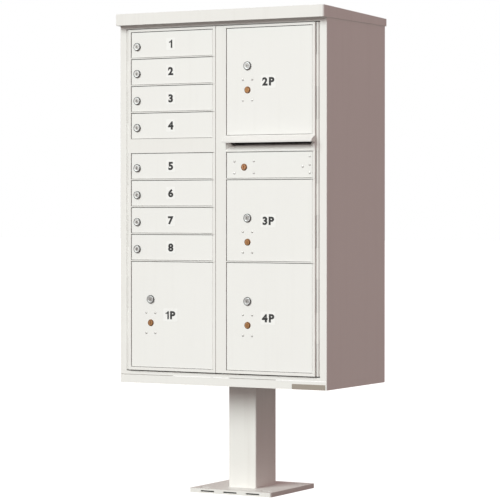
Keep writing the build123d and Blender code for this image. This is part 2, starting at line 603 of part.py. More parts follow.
def make_mail_slot():
    back_y = FACE_Y + TRIM_DEPTH
    outer = funnel(0, FACE_Y, back_y)
    inner = funnel(-TRIM_SHEET, FACE_Y, back_y)
    save("mail_slot_trim", outer - inner)

    hood_x0 = TRIM_X0
    hood_x1 = hinge_edge(RIGHT_DOOR_X) + HOOD_RIGHT
    top = COLLECTION_TOP + HOOD_TOP
    lip_y = FACE_Y - HOOD_PROJECTION
    lip_top = top - HOOD_DROP
    nose_y = lip_y + HOOD_NOSE
    nose_top = lip_top + HOOD_NOSE_RISE
    outside = [(FACE_Y, top), (nose_y, nose_top), (lip_y, lip_top - HOOD_NOSE_DROP),
               (lip_y, lip_top - HOOD_LIP), (FACE_Y, lip_top - HOOD_LIP)]
    wall = HOOD_SHEET + HOOD_NOSE_WALL
    fall = (top - nose_top) / HOOD_PROJECTION
    below = lip_top - HOOD_LIP - OVERCUT
    inside = [(FACE_Y + OVERCUT, top - wall + fall), (nose_y + HOOD_NOSE_WALL, nose_top - wall),
              (lip_y + HOOD_SHEET, lip_top - HOOD_NOSE_DROP - HOOD_NOSE_WALL),
              (lip_y + HOOD_SHEET, below), (FACE_Y + OVERCUT, below)]
    hood = side_profile(outside, hood_x0, hood_x1)
    hood -= side_profile(inside, hood_x0 + HOOD_SHEET, hood_x1 - HOOD_SHEET)
    save("mail_slot_hood", hood)

    chute_x0 = TRIM_X0 + SLOT_END_TOP
    chute_x1 = TRIM_X1 - SLOT_END_TOP
    chute_y = FRAME_BACK_Y + CHUTE_DEPTH
    chute_top = SLOT_Z1 + CHUTE_SHEET + CHUTE_RISE
    under = chute_top - CHUTE_SHEET
    inner_y = chute_y - CHUTE_SHEET
    bend = (chute_y - CHUTE_BEND, under - CHUTE_BEND_RISE)
    drop = (inner_y, chute_top - CHUTE_BEND_DROP)
    flap = [(FRAME_BACK_Y, chute_top), (FRAME_BACK_Y, under), bend, drop,
            (inner_y, chute_top - CHUTE_DROP), (chute_y, chute_top - CHUTE_DROP),
            (chute_y, chute_top - CHUTE_BEND_DROP + OVERLAP),
            (chute_y - CHUTE_BEND + OVERLAP, chute_top - CHUTE_BEND_RISE)]
    chute = side_profile(flap, chute_x0, chute_x1)
    cheek = [(FRAME_BACK_Y, under), (FRAME_BACK_Y, SLOT_Z0 - CHUTE_RISE),
             (inner_y, chute_top - CHUTE_DROP), drop, bend]
    chute += side_profile(cheek, chute_x0, chute_x0 + CHUTE_SHEET)
    chute += side_profile(cheek, chute_x1 - CHUTE_SHEET, chute_x1)
    save("mail_chute", chute)


def make_right_master(latch_z):
    frame = block(RIGHT_MASTER_INNER, FRAME_OUTER, FACE_Y, FRAME_BACK_Y, MASTER_BOTTOM, MASTER_TOP)
    doors = [door[:3] for door in PARCEL_DOORS.values() if door[0] > 0] + [COLLECTION_DOOR]
    for x, z0, z1 in doors:
        frame -= opening_cut(x, z0, z1)
    frame -= hollow(RIGHT_MASTER_INNER, RIGHT_DOOR_X - DOOR_GAP_SIDE, MASTER_BOTTOM, MASTER_TOP)
    frame -= funnel(0, FACE_Y, FACE_Y + TRIM_DEPTH)
    frame -= block(TRIM_X0 + SLOT_END_TOP + CHUTE_SHEET, TRIM_X1 - SLOT_END_TOP - CHUTE_SHEET,
                   FACE_Y + TRIM_DEPTH - ON_PLANE, FRAME_BACK_Y + OVERCUT, SLOT_Z0, SLOT_Z1)
    guide_x0 = RIGHT_MASTER_INNER + LATCH_INSET
    guide_x1 = guide_x0 + LATCH_WIDTH
    back = FRAME_BACK_Y + LATCH_GAP + LATCH_SHEET
    for share in (-GUIDE_SHARE, GUIDE_SHARE):
        z = latch_z + share * LATCH_LENGTH
        frame += block(RIGHT_MASTER_INNER + FRAME_SKIN, RIGHT_DOOR_X - DOOR_GAP_SIDE - FRAME_SKIN,
                       FACE_Y + FRAME_SKIN, back + LATCH_GAP + GUIDE_STRAP,
                       z - GUIDE_HALF_HEIGHT, z + GUIDE_HALF_HEIGHT)
        frame -= block(guide_x0 - LATCH_GAP, guide_x1 + LATCH_GAP, FRAME_BACK_Y, back + LATCH_GAP,
                       z - GUIDE_HALF_HEIGHT - OVERCUT, z + GUIDE_HALF_HEIGHT + OVERCUT)
    tops = [z1 + DOOR_GAP_TOP for x, z0, z1 in doors if z1 < DOORS_TOP]
    for joint in leaf_joints(RIGHT_DOOR_X, FRAME_OUTER, tops):
        frame -= joint
    rod_axis = hinge_edge(RIGHT_DOOR_X) - BARREL_RADIUS
    lower = (MASTER_BOTTOM + ROD_END, COLLECTION_TOP + DOOR_GAP_TOP + ROD_END)
    upper = (COLLECTION_TOP + SLOT_RAIL - DOOR_GAP_BOTTOM - ROD_SEAT, MASTER_TOP - ROD_END)
    for ends in (lower, upper):
        frame -= rod_z(rod_axis, ROD_Y, ROD_RADIUS, *ends)
    for knuckle in frame_knuckles(1):
        frame += knuckle
    save("right_master_frame", frame)
    save("right_door_hinge_rods", rod_z(rod_axis, ROD_Y, ROD_RADIUS, *lower),
         rod_z(rod_axis, ROD_Y, ROD_RADIUS, *upper))


HOOK_HEIGHTS = (-0.25, 0.25)         # hooks along the latch bar, as shares of its length


def make_latch(latch_z):
    """The latch bar slides up on the right master door and hooks the partition strikes."""
    x0 = RIGHT_MASTER_INNER + LATCH_INSET
    x1 = x0 + LATCH_WIDTH
    y0 = FRAME_BACK_Y + LATCH_GAP
    y1 = y0 + LATCH_SHEET
    bar = block(x0, x1, y0, y1, latch_z - LATCH_LENGTH / 2, latch_z + LATCH_LENGTH / 2)
    hook_x = SHELF_SHEET / 2 + HOOK_PARTITION_GAP
    hook_y = y1 + LATCH_FINGER
    for share in HOOK_HEIGHTS:
        z = latch_z + share * LATCH_LENGTH
        bar += block(hook_x, x1, y0, hook_y, z, z + LATCH_HOOK_SHEET)
        bar += block(hook_x, x1, hook_y - LATCH_HOOK_SHEET, hook_y,
                     z, z + LATCH_HOOK_SHEET + LATCH_HOOK)
    z0 = latch_z + HANDLE_RISE
    z1 = z0 + HANDLE_HEIGHT
    end_x = x1 + HANDLE_REACH
    bar += block(x1 - OVERLAP, end_x, y0, y1, z0, z1)
    bar += block(end_x - LATCH_SHEET, end_x, y0, y1 + HANDLE_GRIP, z0, z1)
    save("master_latch_bar", bar)


def make_master_hinges():
    leaves = []
    pins = []
    for side in (-1, 1):
        axis = side * HINGE_X
        edges = sorted((side * LEAF_X, side * (LEAF_X + LEAF_SHEET)))
        web = sorted((side * (HINGE_X + KNUCKLE_RADIUS / 2), side * (LEAF_X + OVERLAP)))
        leaf = block(edges[0], edges[1], FLANGE_Y + LEAF_SETBACK,
                     FLANGE_Y + FLANGE_RETURN, MASTER_BOTTOM, MASTER_TOP)
        for z0, z1 in knuckle_spans()[0::2]:
            leaf += rod_z(axis, HINGE_Y, KNUCKLE_RADIUS, z0, z1)
            leaf += block(web[0], web[1], HINGE_Y + LEAF_WEB_FRONT, HINGE_Y + LEAF_WEB_BACK, z0, z1)
        leaf -= rod_z(axis, HINGE_Y, MASTER_PIN_RADIUS,
                      MASTER_BOTTOM - OVERCUT, MASTER_TOP + OVERCUT)
        leaves.append(leaf)
        pins.append(rod_z(axis, HINGE_Y, MASTER_PIN_RADIUS, MASTER_BOTTOM, MASTER_TOP))
    save("master_hinge_leaves", *leaves)
    save("master_hinge_pins", *pins)


# ------------------------------------------------------------------ cabinet
def under_roof(x0, x1, y0, y1, z0):
    """A wall whose top edge follows the underside of the roof."""
    top = [(y, roof_height(y) - ROOF_SHEET) for y in (y1, y0)]
    return side_profile([(y0, z0), (y1, z0)] + top, x0, x1)


def make_side_panel(side):
    def span(inner, outer):
        return sorted((side * inner, side * outer))

    wall = under_roof(*span(HALF_WIDTH - SHEET, HALF_WIDTH), FLANGE_Y, BACK_Y, PEDESTAL_HEIGHT)
    flange = under_roof(*span(FLANGE_INNER, HALF_WIDTH), FLANGE_Y, FLANGE_Y + SHEET, SILL_BOTTOM)
    turn = under_roof(*span(FLANGE_INNER, FLANGE_INNER + SHEET), FLANGE_Y,
                      FLANGE_Y + FLANGE_RETURN, FLOOR_TOP)
    panel = wall + flange + turn
    corner = panel.edges().filter_by(Axis.Z)
    corner = corner.filter_by(lambda e: abs(abs(e.center().X) - HALF_WIDTH) < 0.01)
    corner = corner.filter_by(lambda e: abs(e.center().Y - FLANGE_Y) < 0.01)
    panel = fillet(corner, FRONT_BEND)
    save("left_side_panel" if side < 0 else "right_side_panel", panel)


def make_cabinet(latch_z):
    inner = HALF_WIDTH - SHEET
    for side in (-1, 1):
        make_side_panel(side)
    save("back_panel", under_roof(-inner, inner, BACK_Y - SHEET, BACK_Y, SILL_BOTTOM))

    floor = block(-inner, inner, FLANGE_Y + SHEET, BACK_Y - SHEET, FLOOR_TOP - SHEET, FLOOR_TOP)
    floor += block(-FLANGE_INNER, FLANGE_INNER, FLANGE_Y, FLANGE_Y + SHEET, SILL_BOTTOM, FLOOR_TOP)
    for x in (-CABINET_BOLT_X, CABINET_BOLT_X):
        for y in (CENTRE_Y - CABINET_BOLT_Y, CENTRE_Y + CABINET_BOLT_Y):
            floor -= rod_z(x, y, BOLT_HOLE_RADIUS, FLOOR_TOP - SHEET - OVERCUT, FLOOR_TOP + OVERCUT)
    save("floor_pan", floor)

    skirt = block(-inner, inner, FLANGE_Y, FLANGE_Y + SHEET, PEDESTAL_HEIGHT, SKIRT_TOP)
    skirt += block(-inner, inner, FLANGE_Y, FLANGE_Y + SKIRT_RETURN, PEDESTAL_HEIGHT,
                   PEDESTAL_HEIGHT + SHEET)
    save("front_skirt", skirt)

    header = under_roof(-FLANGE_INNER, FLANGE_INNER, FLANGE_Y, FLANGE_Y + SHEET, HEADER_BOTTOM)
    header += block(-FLANGE_INNER, FLANGE_INNER, FLANGE_Y, FLANGE_Y + HEADER_RETURN,
                    HEADER_BOTTOM, HEADER_BOTTOM + SHEET)
    save("header_rail", header)

    half = SHELF_SHEET / 2
    partition = under_roof(-half, half, SHELF_Y, BACK_Y - SHEET, FLOOR_TOP)
    hook_y = FRAME_BACK_Y + LATCH_GAP + LATCH_SHEET + LATCH_FINGER - LATCH_HOOK_SHEET
    strike_y = hook_y - STRIKE_HOOK_GAP
    for share in HOOK_HEIGHTS:
        z = latch_z + share * LATCH_LENGTH + LATCH_HOOK_SHEET + LATCH_HOOK + STRIKE_CLEARANCE
        partition += block(0, RIGHT_MASTER_INNER + LATCH_INSET + LATCH_WIDTH,
                           strike_y - STRIKE_DEPTH, strike_y, z, z + STRIKE_HEIGHT)
    save("centre_partition", partition)

    shelves = []
    rows = tenant_rows()
    left_levels = [z0 - DOOR_SPACING / 2 for z0, z1 in rows] + [rows[4][1] + DOOR_SPACING / 2]
    right_levels = [LOWER_BOXES - DOOR_SPACING / 2, COLLECTION_BOTTOM - DOOR_SPACING / 2,
                    PARCEL_DOORS[2][1] - DOOR_SPACING / 2]
    for x0, x1, levels in ((-inner, -half, left_levels), (half, inner, right_levels)):
        for z in levels:
            shelf = block(x0, x1, FLANGE_Y + FLANGE_RETURN, BACK_Y - SHEET, z - half, z + half)
            tongue = (-LEAF_X, -half) if x0 < 0 else (half, LEAF_X)
            shelf += block(*tongue, SHELF_Y, FLANGE_Y + FLANGE_RETURN, z - half, z + half)
            shelf += block(*tongue, SHELF_Y, SHELF_Y + SHELF_SHEET, z - half - SHELF_LIP, z - half)
            shelves.append(shelf)
    save("compartment_shelves", *shelves)


def make_roof():
    slope = [(ROOF_FRONT_Y, FASCIA_BOTTOM), (ROOF_BACK_Y, FASCIA_BOTTOM),
             (ROOF_BACK_Y, ROOF_TOP - ROOF_FALL), (ROOF_FRONT_Y, ROOF_TOP)]
    cap = side_profile(slope, -ROOF_HALF, ROOF_HALF)
    corners = cap.edges().filter_by(Axis.Z)
    cap = fillet(corners, ROOF_CORNER)
    front = ROOF_FRONT_Y + ROOF_SHEET
    back = ROOF_BACK_Y - ROOF_SHEET
    hollow_out = [(front, FASCIA_BOTTOM - OVERCUT), (back, FASCIA_BOTTOM - OVERCUT),
                  (back, roof_height(back) - ROOF_SHEET), (front, roof_height(front) - ROOF_SHEET)]
    inside = side_profile(hollow_out, -ROOF_HALF + ROOF_SHEET, ROOF_HALF - ROOF_SHEET)
    inside = fillet(inside.edges().filter_by(Axis.Z), ROOF_CORNER - ROOF_SHEET)
    save("roof_cap", cap - inside)


def make_name_plate():
    x1 = HALF_WIDTH - SHEET - PLATE_EDGE
    y = FLANGE_Y - PLATE_SHEET
    plate = block(x1 - PLATE_WIDTH, x1, y, FLANGE_Y, PEDESTAL_HEIGHT, PEDESTAL_HEIGHT + PLATE_HEIGHT)
    save("name_plate", plate)


# ------------------------------------------------------------------ pedestal
def make_pedestal():
    half_x = BASE_WIDTH / 2
    half_y = BASE_DEPTH / 2
    base = block(-half_x, half_x, -half_y, half_y, 0, BASE_HEIGHT)
    base = fillet(base.edges().filter_by(Axis.Z), BASE_CORNER)
    base -= block(-half_x + BASE_SHEET, half_x - BASE_SHEET, -half_y + BASE_SHEET,
                  half_y - BASE_SHEET, -OVERCUT, BASE_HEIGHT - BASE_SHEET)
    straight = (BASE_SLOT_LENGTH - BASE_SLOT_HEIGHT) / 2
    for n in (-1, 0, 1):
        x = n * BASE_SLOT_PITCH
        z0 = BASE_SLOT_CENTRE - BASE_SLOT_HEIGHT / 2
        for y in (-half_y, half_y):
            y0 = y - BASE_SHEET - OVERCUT
            y1 = y + BASE_SHEET + OVERCUT
            base -= block(x - straight, x + straight, y0, y1, z0, z0 + BASE_SLOT_HEIGHT)
            for end in (-straight, straight):
                base -= rod_y(x + end, BASE_SLOT_CENTRE, BASE_SLOT_HEIGHT / 2, y0, y1)
    reach = ANCHOR_SLOT_LENGTH / 2 - ANCHOR_RADIUS
    heights = (BASE_HEIGHT - BASE_SHEET - OVERCUT, BASE_HEIGHT + OVERCUT)
    for x in (-ANCHOR_SPACING_X / 2, ANCHOR_SPACING_X / 2):
        for y in (-ANCHOR_SPACING_Y / 2, ANCHOR_SPACING_Y / 2):
            base -= block(x - reach, x + reach, y - ANCHOR_RADIUS, y + ANCHOR_RADIUS, *heights)
            for end in (-reach, reach):
                base -= rod_z(x + end, y, ANCHOR_RADIUS, *heights)
    under_cabinet = Pos(0, CENTRE_Y, 0)
    save("pedestal_base", under_cabinet * base)

    plate_top = FLOOR_TOP - SHEET
    plate_bottom = plate_top - TOP_PLATE
    post = block(-POST_WIDTH / 2, POST_WIDTH / 2, -POST_DEPTH / 2, POST_DEPTH / 2,
                 BASE_HEIGHT, plate_bottom)
    post = fillet(post.edges().filter_by(Axis.Z), POST_CORNER)
    post -= block(-POST_WIDTH / 2 + POST_WALL, POST_WIDTH / 2 - POST_WALL,
                  -POST_DEPTH / 2 + POST_WALL, POST_DEPTH / 2 - POST_WALL,
                  BASE_HEIGHT - OVERCUT, plate_bottom + OVERCUT)
    save("pedestal_post", under_cabinet * post)

    plate = block(-TOP_PLATE_WIDTH / 2, TOP_PLATE_WIDTH / 2, -TOP_PLATE_DEPTH / 2,
                  TOP_PLATE_DEPTH / 2, plate_bottom, plate_top)
    bolts = []
    for x in (-CABINET_BOLT_X, CABINET_BOLT_X):
        for y in (-CABINET_BOLT_Y, CABINET_BOLT_Y):
            plate -= rod_z(x, y, BOLT_HOLE_RADIUS, plate_bottom - OVERCUT, plate_top + OVERCUT)
            hexagon = Pos(x, y) * RegularPolygon(BOLT_HEAD_RADIUS, 6)
            head = extrude(Pos(0, 0, FLOOR_TOP) * hexagon, amount=BOLT_HEAD)
            nut_bottom = plate_bottom - BOLT_HEAD
            bolts.append(head + rod_z(x, y, BOLT_RADIUS, nut_bottom - BOLT_END, FLOOR_TOP))
            nut = extrude(Pos(0, 0, nut_bottom) * hexagon, amount=BOLT_HEAD)
            bolts.append(nut - rod_z(x, y, BOLT_RADIUS, nut_bottom - OVERCUT, plate_bottom + OVERCUT))
    save("pedestal_top_plate", under_cabinet * plate)
    save("pedestal_bolts", *[under_cabinet * bolt for bolt in bolts])


# ------------------------------------------------------------------ build
os.makedirs("parts", exist_ok=True)
make_pedestal()
make_roof()
make_name_plate()
make_tenant_doors()
make_parcel_doors()
core_height = make_collection_door()
make_mail_slot()
make_left_master()
make_right_master(core_height)
make_latch(core_height)
make_cabinet(core_height)
make_master_hinges()
print("overall height", ROOF_TOP, "door widths", LEFT_DOOR_WIDTH, RIGHT_DOOR_WIDTH)
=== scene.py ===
# %% [markdown]
# # A cluster mailbox on a pedestal
# The frame of this scene is the finished mechanical model: every door, lock and sheet is already
# in its place and already knows which body carries it. This lesson gives those parts their
# finishes and adds the small things a drawing leaves out: lock bezels, rivet caps, decals,
# numbers and rubber seals.

# %% Load the mechanical model
import json
import math

import bmesh
import bpy
from mathutils import Matrix, Vector


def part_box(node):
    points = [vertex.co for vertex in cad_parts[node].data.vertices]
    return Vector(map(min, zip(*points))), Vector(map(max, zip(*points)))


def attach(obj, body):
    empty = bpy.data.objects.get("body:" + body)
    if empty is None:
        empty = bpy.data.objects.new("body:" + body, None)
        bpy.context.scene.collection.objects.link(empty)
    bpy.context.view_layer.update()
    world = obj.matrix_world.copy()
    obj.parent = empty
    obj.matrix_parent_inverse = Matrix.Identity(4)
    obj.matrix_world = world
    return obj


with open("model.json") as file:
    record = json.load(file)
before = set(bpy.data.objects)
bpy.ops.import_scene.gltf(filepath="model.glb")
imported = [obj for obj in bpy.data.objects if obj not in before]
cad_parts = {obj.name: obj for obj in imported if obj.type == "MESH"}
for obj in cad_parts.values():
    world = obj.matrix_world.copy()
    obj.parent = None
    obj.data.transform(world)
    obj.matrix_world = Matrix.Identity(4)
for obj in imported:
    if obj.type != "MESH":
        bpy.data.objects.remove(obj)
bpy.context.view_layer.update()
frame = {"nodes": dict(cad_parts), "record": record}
MM = 0.001


# %% [markdown]
# ## The camera
# A long lens from well back keeps the upright edges almost parallel, as catalogue pictures have
# them. The camera stands to the right of the unit and a little above its middle, and
# a small lens shift centres the unit with hardly any tilt, so its uprights stay vertical.

# %% Camera
CAMERA_PLACE = Vector((3.750, -6.714, 0.923))
CAMERA_YAW = 29.14          # degrees round from square to the doors
CAMERA_DIP = 0.61           # degrees below the horizon
CAMERA_LENS = 167.3
SENSOR_WIDTH = 36.0
LENS_SHIFT = (-0.0055, -0.0270)

camera_data = bpy.data.cameras.new("camera")
camera_data.lens = CAMERA_LENS
camera_data.sensor_width = SENSOR_WIDTH
camera_data.shift_x, camera_data.shift_y = LENS_SHIFT
camera = bpy.data.objects.new("camera", camera_data)
camera.location = CAMERA_PLACE
camera.rotation_euler = (math.radians(90 - CAMERA_DIP), 0, math.radians(CAMERA_YAW))
bpy.context.scene.collection.objects.link(camera)
bpy.context.scene.camera = camera
print("camera", tuple(round(v, 3) for v in camera.location))


# %% [markdown]
# ## Node groups shared by the finishes
# Powder paint is never quite flat: it dries with a fine orange-peel skin, and after some weeks
# outdoors rain leaves faint upright streaks. Both effects are wanted by several paints, so each
# is one node group with its own inputs. The groups put out colours, roughness and heights only.

# %% Helpers for building node groups
MIX_A, MIX_B, MIX_RESULT = 6, 7, 2     # the colour sockets of a Mix node


def new_group(name, inputs, outputs):
    """An empty shader group with named float or colour sockets."""
    group = bpy.data.node_groups.new(name, "ShaderNodeTree")
    for label, kind, value in inputs:
        socket = group.interface.new_socket(label, in_out="INPUT", socket_type=kind)
        socket.default_value = value
    for label, kind in outputs:
        group.interface.new_socket(label, in_out="OUTPUT", socket_type=kind)
    return group, group.nodes.new("NodeGroupInput"), group.nodes.new("NodeGroupOutput")


def add_noise(tree, vector, scale, detail=3.0, rough=0.5):
    node = tree.nodes.new("ShaderNodeTexNoise")
    node.inputs["Scale"].default_value = scale
    node.inputs["Detail"].default_value = detail
    node.inputs["Roughness"].default_value = rough
    tree.links.new(vector, node.inputs["Vector"])
    return node.outputs["Fac"]


def add_range(tree, value, low, high, to_low, to_high):
    node = tree.nodes.new("ShaderNodeMapRange")
    tree.links.new(value, node.inputs["Value"])
    for label, number in (("From Min", low), ("From Max", high), ("To Min", to_low), ("To Max", to_high)):
        node.inputs[label].default_value = number
    return node.outputs["Result"]


def add_math(tree, kind, a, b):
    node = tree.nodes.new("ShaderNodeMath")
    node.operation = kind
    for socket, value in zip(node.inputs, (a, b)):
        if isinstance(value, (int, float)):
            socket.default_value = value
        else:
            tree.links.new(value, socket)
    return node.outputs["Value"]


def add_mix(tree, factor, a, b):
    """Colour a where factor is 0, colour b where it is 1."""
    node = tree.nodes.new("ShaderNodeMix")
    node.data_type = "RGBA"
    tree.links.new(factor, node.inputs["Factor"])
    for socket, value in ((node.inputs[MIX_A], a), (node.inputs[MIX_B], b)):
        if isinstance(value, tuple):
            socket.default_value = value
        else:
            tree.links.new(value, socket)
    return node.outputs[MIX_RESULT]


def object_place(tree, stretch=(1, 1, 1)):
    """Object coordinates, so that a pattern travels with a door when it opens."""
    coordinates = tree.nodes.new("ShaderNodeTexCoord")
    mapping = tree.nodes.new("ShaderNodeMapping")
    mapping.inputs["Scale"].default_value = stretch
    tree.links.new(coordinates.outputs["Object"], mapping.inputs["Vector"])
    return mapping.outputs["Vector"]


# %% Powder paint group
FLOAT, COLOR = "NodeSocketFloat", "NodeSocketColor"
CLOUD, STREAK, PEEL, GRAIN, SHEEN = 2.2, 46, 620, 2300, 14     # noise scales, per metre
STREAK_STRETCH = (1, 1, 0.04)          # drawn out upright, as rain runs


def build_powder_group():
    group, given, result = new_group(
        "powder_coat", [("Paint", COLOR, (0.8, 0.8, 0.8, 1)), ("Soil", COLOR, (0.5, 0.45, 0.4, 1)),
                        ("Streaks", FLOAT, 0.1), ("Gloss", FLOAT, 0.4)],
        [("Color", COLOR), ("Roughness", FLOAT), ("Height", FLOAT)])
    plain = object_place(group)
    upright = object_place(group, STREAK_STRETCH)
    cloud = add_range(group, add_noise(group, plain, CLOUD, 4), 0.35, 0.7, 0, 0.5)
    streak = add_range(group, add_noise(group, upright, STREAK, 5, 0.6), 0.52, 0.78, 0, 1)
    mask = add_math(group, "ADD", cloud, streak)
    mask = add_math(group, "MULTIPLY", mask, given.outputs["Streaks"])
    color = add_mix(group, mask, given.outputs["Paint"], given.outputs["Soil"])
    peel = add_noise(group, plain, PEEL, 2, 0.45)
    fine = add_noise(group, plain, GRAIN, 2, 0.5)
    height = add_math(group, "ADD", peel, add_math(group, "MULTIPLY", fine, 0.35))
    sheen = add_range(group, add_noise(group, plain, SHEEN, 3), 0.3, 0.7, -0.05, 0.06)
    rough = add_math(group, "ADD", add_math(group, "ADD", given.outputs["Gloss"], sheen), mask)
    group.links.new(color, result.inputs["Color"])
    group.links.new(rough, result.inputs["Roughness"])
    group.links.new(height, result.inputs["Height"])
    return group


powder_coat = build_powder_group()
print("group", powder_coat.name, len(powder_coat.nodes), "nodes")


# %% [markdown]
# Bare metal needs the opposite: its colour is even, and what the eye reads is tarnish in soft
# patches, hairline scratches and, on zinc, the large crystals of the coating. One group makes
# all three, and each metal turns up the part it needs.

# %% Worn metal group
TARNISH, SCRATCH, CRYSTAL = 170, 300, 95                      # pattern scales, per metre
SCRATCH_SQUEEZE = (1, 1, 22)           # pressed thin, so that the scratches run level


def build_metal_group():
    group, given, result = new_group(
        "worn_metal", [("Metal", COLOR, (0.7, 0.7, 0.7, 1)), ("Tarnish", COLOR, (0.2, 0.15, 0.1, 1)),
                       ("Amount", FLOAT, 0.3), ("Polish", FLOAT, 0.2), ("Crystals", FLOAT, 0.0)],
        [("Color", COLOR), ("Roughness", FLOAT), ("Height", FLOAT)])
    plain = object_place(group)
    patch = add_range(group, add_noise(group, plain, TARNISH, 5, 0.62), 0.42, 0.68, 0, 1)
    level = object_place(group, SCRATCH_SQUEEZE)
    scratch = add_range(group, add_noise(group, level, SCRATCH, 2), 0.55, 0.62, 0, 1)
    cells = group.nodes.new("ShaderNodeTexVoronoi")
    cells.inputs["Scale"].default_value = CRYSTAL
    group.links.new(plain, cells.inputs["Vector"])
    crystal = group.nodes.new("ShaderNodeSeparateColor")
    group.links.new(cells.outputs["Color"], crystal.inputs["Color"])
    facet = add_math(group, "MULTIPLY", crystal.outputs["Red"], given.outputs["Crystals"])
    mask = add_math(group, "MULTIPLY", patch, given.outputs["Amount"])
    mask = add_math(group, "ADD", mask, add_math(group, "MULTIPLY", facet, 0.4))
    color = add_mix(group, mask, given.outputs["Metal"], given.outputs["Tarnish"])
    rough = add_math(group, "ADD", given.outputs["Polish"], add_math(group, "MULTIPLY", mask, 0.4))
    rough = add_math(group, "ADD", rough, add_math(group, "MULTIPLY", scratch, 0.05))
    group.links.new(color, result.inputs["Color"])
    group.links.new(rough, result.inputs["Roughness"])
    group.links.new(add_math(group, "ADD", patch, scratch), result.inputs["Height"])
    return group


worn_metal = build_metal_group()
print("group", worn_metal.name, len(worn_metal.nodes), "nodes")


# %% [markdown]
# ## The finishes
# Each finish is one Principled shader fed by a group. Numbers that are the same all over, such
# as the metalness, are set on the shader itself.

# %% Finish maker
PAINT_RELIEF, METAL_RELIEF = 0.0004, 0.0002                   # depth of the skin, in metres


def finish(name, group, values, bump, reach, **constants):
    """A material whose colour, roughness and relief come from a shared group."""
    material = bpy.data.materials.new(name)
    material.use_nodes = True
    tree = material.node_tree
    shader = tree.nodes["Principled BSDF"]
    surface = tree.nodes.new("ShaderNodeGroup")
    surface.node_tree = group
    for label, value in values.items():
        surface.inputs[label].default_value = value
    relief = tree.nodes.new("ShaderNodeBump")
    relief.inputs["Strength"].default_value = bump
    relief.inputs["Distance"].default_value = reach
    tree.links.new(surface.outputs["Color"], shader.inputs["Base Color"])
    tree.links.new(surface.outputs["Roughness"], shader.inputs["Roughness"])
    tree.links.new(surface.outputs["Height"], relief.inputs["Height"])
    tree.links.new(relief.outputs["Normal"], shader.inputs["Normal"])
    for label, value in constants.items():
        shader.inputs[label.replace("_", " ").title().replace("Ior", "IOR")].default_value = value
    material.diffuse_color = values.get("Paint", values.get("Metal", (0.8, 0.8, 0.8, 1)))
    return material


def paint(name, color, soil=(0.42, 0.37, 0.33, 1), streaks=0.05, gloss=0.42, bump=0.12):
    values = {"Paint": (*color, 1), "Soil": soil, "Streaks": streaks, "Gloss": gloss}
    return finish(name, powder_coat, values, bump, PAINT_RELIEF)


def metal(name, color, tarnish, amount, polish, crystals=0.0, bump=0.08):
    values = {"Metal": (*color, 1), "Tarnish": (*tarnish, 1), "Amount": amount, "Polish": polish,
              "Crystals": crystals}
    return finish(name, worn_metal, values, bump, METAL_RELIEF, metallic=1.0)


# %% [markdown]
# The outside is one pale powder paint with small differences: the roof and the pedestal are more
# soiled than the doors, the hood of the mail slot is painted a shade darker against the extra light
# its sloped top catches, and the trim under it is painted lighter, which is painted light in the
# hood's shadow. The locks need several metals, from bright chrome to copper and a dark nickel whose
# darkness is painted shade on the bezels' rolled rims, and the hidden sheet is left bare.

# %% Paints and metals of the unit
cabinet_paint = paint("cabinet_paint", (0.86, 0.85, 0.83))
door_paint = paint("door_paint", (0.88, 0.875, 0.86), streaks=0.035)
roof_paint = paint("roof_paint", (0.86, 0.85, 0.83), streaks=0.09)
pedestal_paint = paint("pedestal_paint", (0.84, 0.825, 0.80), streaks=0.10)
# The hood is painted darker than the cabinet: painted shade against the extra light its sloped top catches.
hood_paint_painted_shade = paint("hood_paint_painted_shade", (0.79, 0.785, 0.77), streaks=0.03)
# The trim is painted lighter than the cabinet: painted light in the shadow the hood throws on it.
trim_paint = paint("trim_paint", (0.92, 0.91, 0.89), streaks=0.03)
plate_paint = paint("plate_paint", (0.34, 0.295, 0.25), streaks=0.12, gloss=0.5)
hinge_paint = paint("hinge_paint", (0.80, 0.79, 0.77), streaks=0.10)
inner_sheet = metal("inner_sheet", (0.66, 0.66, 0.66), (0.42, 0.41, 0.40), 0.25, 0.42, 0.15)
chrome = metal("lock_chrome", (0.62, 0.62, 0.63), (0.30, 0.29, 0.28), 0.15, 0.42)
# A dark copy of the bezel metal: its darkness is painted shade on the rolled rim of each bezel.
rim_shade_nickel = metal("nickel_rim_painted_shade", (0.20, 0.20, 0.20), (0.10, 0.10, 0.10), 0.25, 0.45)
plug_steel = metal("plug_steel", (0.50, 0.49, 0.48), (0.22, 0.20, 0.18), 0.25, 0.36)
core_brass = metal("core_brass", (0.50, 0.26, 0.12), (0.16, 0.08, 0.05), 0.45, 0.38)
core_copper = metal("core_copper", (0.50, 0.25, 0.13), (0.16, 0.07, 0.05), 0.40, 0.38)
# A darker copy of the brass for the lock collars: painted shade on their rolled edges.
brass_collar_painted_shade = metal("brass_collar_painted_shade", (0.30, 0.16, 0.09), (0.12, 0.06, 0.04), 0.40, 0.42)
# Steel for the rivet caps: its darkness is painted shade round the domed rivet heads.
rivet_cap_shade_steel = metal("rivet_cap_shade_steel", (0.66, 0.65, 0.64), (0.34, 0.33, 0.32), 0.25, 0.45)
lock_steel = metal("lock_steel", (0.58, 0.58, 0.58), (0.30, 0.29, 0.28), 0.25, 0.32)
zinc_steel = metal("zinc_steel", (0.62, 0.63, 0.64), (0.36, 0.37, 0.38), 0.3, 0.34, 0.5)
print(len(bpy.data.materials), "materials")

# %% [markdown]
# Most parts of the mechanical model keep their shape and only get a finish. A short table names
# the special ones, a few words in a part's name settle the locks and the doors, and the rest
# takes the paint of the cabinet. The finish goes on the object's slot, not on its mesh.

